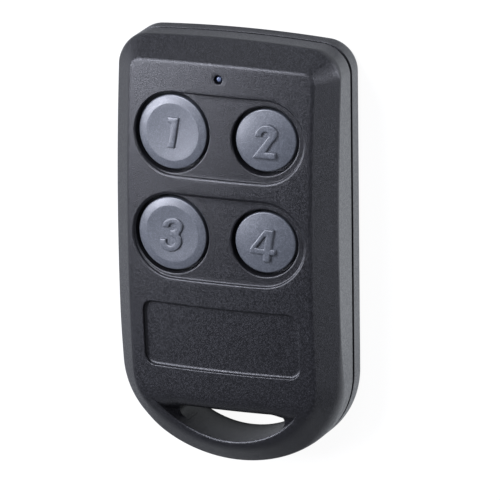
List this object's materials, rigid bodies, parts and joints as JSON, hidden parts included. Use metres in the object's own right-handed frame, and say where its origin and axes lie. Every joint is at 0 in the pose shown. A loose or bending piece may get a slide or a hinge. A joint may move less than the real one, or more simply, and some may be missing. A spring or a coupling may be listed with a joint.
{
  "type": "alarm key fob",
  "caption": "Dark plastic alarm key fob with a crowned and bevelled case, round numbered push keys, a small lamp, a blank label recess and a wide key ring slot.",
  "frame": {"origin": "middle of the flat back", "axes": "+Z is the face's normal, +Y points to the lamp end and +X to the small keys, so the numbers read upright"},
  "size_m": [0.037, 0.0688, 0.0143],
  "materials": {
    "case_plastic": "fine grain, satin",
    "key_plastic": "fine grain, satin",
    "lamp_lens": "clear, slightly blue",
    "lamp_body": "moulded",
    "board": "solder mask",
    "black_plastic": "moulded",
    "steel": "plated",
    "cell_can": "nickel plated",
    "contact_brass": "sheet",
    "antenna_metal": "copper strip",
    "ceramic": "fired"
  },
  "bodies": {
    "case": {"front_shell": "case_plastic", "rear_shell": "case_plastic", "light_pipe": "lamp_lens", "lamp_chip": "lamp_body", "circuit_board": "board", "switch_base_1": "black_plastic", "switch_base_2": "black_plastic", "switch_base_3": "black_plastic", "switch_base_4": "black_plastic", "switch_covers": "steel", "switch_domes": "steel", "coin_cell": "cell_can", "cell_clip": "contact_brass", "cell_contact": "contact_brass", "controller_chip": "black_plastic", "transmitter_chip": "black_plastic", "crystal_can": "steel", "antenna_loop": "antenna_metal", "chip_capacitors": "ceramic", "chip_resistors": "black_plastic", "case_screws": "steel"},
    "key_1": {"button_1": "key_plastic", "switch_plunger_1": "black_plastic"},
    "key_2": {"button_2": "key_plastic", "switch_plunger_2": "black_plastic"},
    "key_3": {"button_3": "key_plastic", "switch_plunger_3": "black_plastic"},
    "key_4": {"button_4": "key_plastic", "switch_plunger_4": "black_plastic"}
  },
  "joints": [
    {"name": "key_1_press", "type": "slide", "parent": "case", "child": "key_1", "axis": [0, 0, -1], "range_m": [0, 0.0004], "stiffness_N_per_m": 4000},
    {"name": "key_2_press", "type": "slide", "parent": "case", "child": "key_2", "axis": [0, 0, -1], "range_m": [0, 0.0004], "stiffness_N_per_m": 4000},
    {"name": "key_3_press", "type": "slide", "parent": "case", "child": "key_3", "axis": [0, 0, -1], "range_m": [0, 0.0004], "stiffness_N_per_m": 4000},
    {"name": "key_4_press", "type": "slide", "parent": "case", "child": "key_4", "axis": [0, 0, -1], "range_m": [0, 0.0004], "stiffness_N_per_m": 4000}
  ]
}
